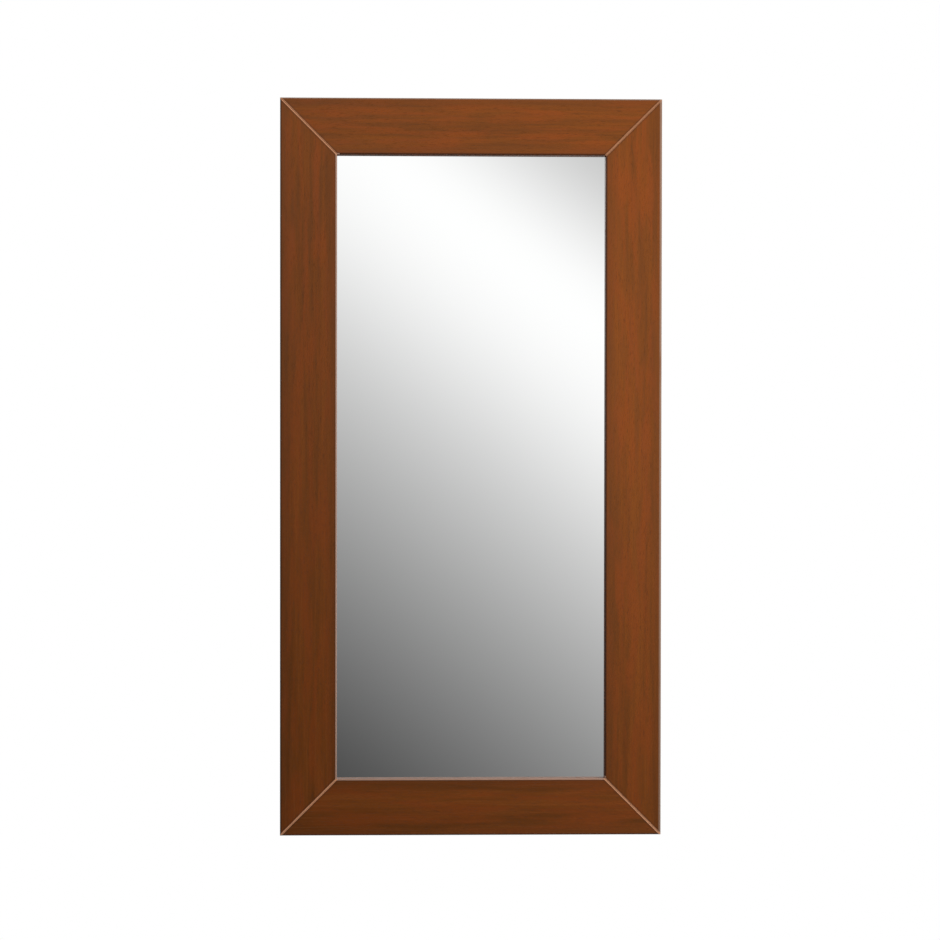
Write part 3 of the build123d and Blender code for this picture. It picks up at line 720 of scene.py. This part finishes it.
def fit_catch_screws(pan, flush):
    """Two screws through the catch's ears and one through the strike plate."""
    low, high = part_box("catch_housing")
    middle = (low + high) / 2
    for side, name in ((-1, "lower"), (1, "upper")):
        spot = (high.x - EAR_THICKNESS, middle.y, middle.z + side * EAR_SCREW_SPREAD)
        fit_copy(pan, "catch_screw_" + name, spot, (-1, 0, 0), 24 + 31 * side, "cabinet")
    low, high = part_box("strike_plate")
    spot = ((low.x + high.x) / 2, high.y, (low.z + high.z) / 2)
    fit_copy(flush, "strike_screw", spot, (0, 1, 0), 12, "door")


def fit_bead_brads(master):
    """Brads along the middle of each glazing bead's back face."""
    for side, count in (("left", 7), ("right", 7), ("top", 4), ("bottom", 4)):
        low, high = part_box("door_bead_" + side)
        long_axis = 2 if side in ("left", "right") else 0
        length = high[long_axis] - low[long_axis]
        for place in range(count):
            spot = (low + high) / 2
            spot.y = high.y
            spot[long_axis] = low[long_axis] + length * (place + 0.5) / count
            name = f"bead_brad_{side}_{place + 1}"
            fit_copy(master, name, spot, (0, 1, 0), 40 * place, "door")


def fit_fasteners(material):
    """Every screw and brad, from one of each that is then put away."""
    flush = make_countersunk_screw(material)
    pan = make_pan_screw(material)
    brad = make_brad(material)
    fit_leaf_screws(flush)
    fit_catch_screws(pan, flush)
    fit_bead_brads(brad)
    for master in (flush, pan, brad):
        bpy.data.objects.remove(master, do_unlink=True)


def make_camera():
    """Camera at the photograph's place, turned as the photograph's corners ask."""
    data = bpy.data.cameras.new("camera")
    data.lens = LENS
    data.sensor_width = SENSOR_WIDTH
    camera = bpy.data.objects.new("camera", data)
    bpy.context.scene.collection.objects.link(camera)
    camera.location = CAMERA_PLACE
    camera.rotation_euler = (radians(90 + CAMERA_PITCH), radians(CAMERA_ROLL), radians(CAMERA_YAW))
    bpy.context.scene.camera = camera


def add_lamp(name, place, aim, size, power):
    """Square soft lamp that points at a spot."""
    data = bpy.data.lights.new(name, "AREA")
    data.shape = "SQUARE"
    data.size = size
    data.energy = power
    lamp = bpy.data.objects.new(name, data)
    bpy.context.scene.collection.objects.link(lamp)
    lamp.location = place
    lamp.rotation_euler = (Vector(aim) - Vector(place)).to_track_quat("-Z", "Y").to_euler()
    lamp.visible_camera = False
    lamp.visible_glossy = False


def fade_glow(tree, height, rate, bend, most):
    """Share of the glow that is lost past its edge, with a soft start and a soft end."""
    lost = maths(tree, "SMOOTH_MAX", maths(tree, "MULTIPLY", height, rate), 0.0, bend)
    return maths(tree, "SMOOTH_MIN", lost, most, FADE_END_BEND)


def make_glow(tree):
    """Brightness for reflections: a slanted band of white that fades downwards and a little upwards."""
    aim = new_node(tree, "ShaderNodeSeparateXYZ")
    feed(tree, aim.inputs[0], new_node(tree, "ShaderNodeTexCoord").outputs["Generated"])
    sideways = maths(tree, "MINIMUM", aim.outputs["X"], GLOW_RIGHT)
    sideways = maths(tree, "MAXIMUM", sideways, GLOW_LEFT)
    slant = maths(tree, "MULTIPLY_ADD", sideways, GLOW_TILT, aim.outputs["Z"])
    ahead = maths(tree, "MULTIPLY", aim.outputs["Y"], -1.0)
    below = maths(tree, "SUBTRACT", GLOW_BOTTOM, slant)
    below = maths(tree, "MULTIPLY", below, between(tree, ahead, *GLOW_AHEAD, GLOW_ASIDE, 1.0))
    above = maths(tree, "SUBTRACT", slant, GLOW_TOP)
    lost = maths(tree, "ADD", fade_glow(tree, below, **BOTTOM_FADE), fade_glow(tree, above, **TOP_FADE))
    left = maths(tree, "SUBTRACT", 1.0, lost, clamp=True)
    return maths(tree, "MULTIPLY", maths(tree, "POWER", left, GLOW_CURVE), GLOW_LEVEL)


def make_studio_light():
    """White backdrop, plain soft light from three lamps, and the glow for what reflects."""
    world = bpy.data.worlds.new("studio")
    bpy.context.scene.world = world
    world.use_nodes = True
    tree = world.node_tree
    backdrop = tree.nodes["Background"]
    path = new_node(tree, "ShaderNodeLightPath").outputs
    glow = maths(tree, "SUBTRACT", make_glow(tree), AMBIENT)
    level = maths(tree, "MULTIPLY_ADD", path["Is Glossy Ray"], glow, AMBIENT)
    seen = maths(tree, "MAXIMUM", path["Is Camera Ray"], path["Is Transmission Ray"])
    level = maths(tree, "MULTIPLY_ADD", seen, maths(tree, "SUBTRACT", 1.0, level), level)
    backdrop.inputs["Color"].default_value = (1.0, 1.0, 1.0, 1.0)
    feed(tree, backdrop.inputs["Strength"], level)
    add_lamp("from_top", TOP_PLACE, LAMP_AIM, LAMP_SIZE, TOP_POWER)
    add_lamp("from_right", RIGHT_PLACE, LAMP_AIM, LAMP_SIZE, RIGHT_POWER)
    add_lamp("from_behind", BACK_PLACE, BACK_AIM, BACK_SIZE, BACK_POWER)


def make_floor():
    """Pale floor under the hanging cabinet, which takes its shadow and fades to the white backdrop."""
    level = -HALF_HEIGHT - FLOOR_DROP
    clear_selection()
    spot = (0.0, 0.0, level)
    bpy.ops.mesh.primitive_circle_add(vertices=64, radius=FLOOR_RADIUS, fill_type="NGON", location=spot)
    floor = bpy.context.object
    floor.name = "floor"
    material = bpy.data.materials.new("floor_white")
    material.use_nodes = True
    tree = material.node_tree
    shader = tree.nodes["Principled BSDF"]
    shader.inputs["Base Color"].default_value = FLOOR_TONE
    shader.inputs["Roughness"].default_value = 0.8
    place = new_node(tree, "ShaderNodeNewGeometry").outputs["Position"]
    flat = new_node(tree, "ShaderNodeVectorMath", operation="MULTIPLY")
    feed(tree, flat.inputs[0], place)
    flat.inputs[1].default_value = (1.0, 1.0, 0.0)
    distance = new_node(tree, "ShaderNodeVectorMath", operation="LENGTH")
    feed(tree, distance.inputs[0], flat.outputs["Vector"])
    far = between(tree, distance.outputs["Value"], SHADOW_RADIUS, WHITE_RADIUS)
    path = new_node(tree, "ShaderNodeLightPath").outputs
    seen = maths(tree, "MAXIMUM", path["Is Camera Ray"], path["Is Transmission Ray"])
    seen = maths(tree, "MAXIMUM", seen, path["Is Glossy Ray"])
    clear = new_node(tree, "ShaderNodeBsdfTransparent")
    mix = new_node(tree, "ShaderNodeMixShader")
    feed(tree, mix.inputs[0], maths(tree, "MULTIPLY", far, seen))
    feed(tree, mix.inputs[1], shader.outputs["BSDF"])
    feed(tree, mix.inputs[2], clear.outputs["BSDF"])
    feed(tree, tree.nodes["Material Output"].inputs["Surface"], mix.outputs["Shader"])
    floor.data.materials.append(material)


bpy.context.scene.view_settings.view_transform = "Standard"
make_camera()
make_studio_light()
make_floor()
fit_fasteners(dress_cad_nodes())
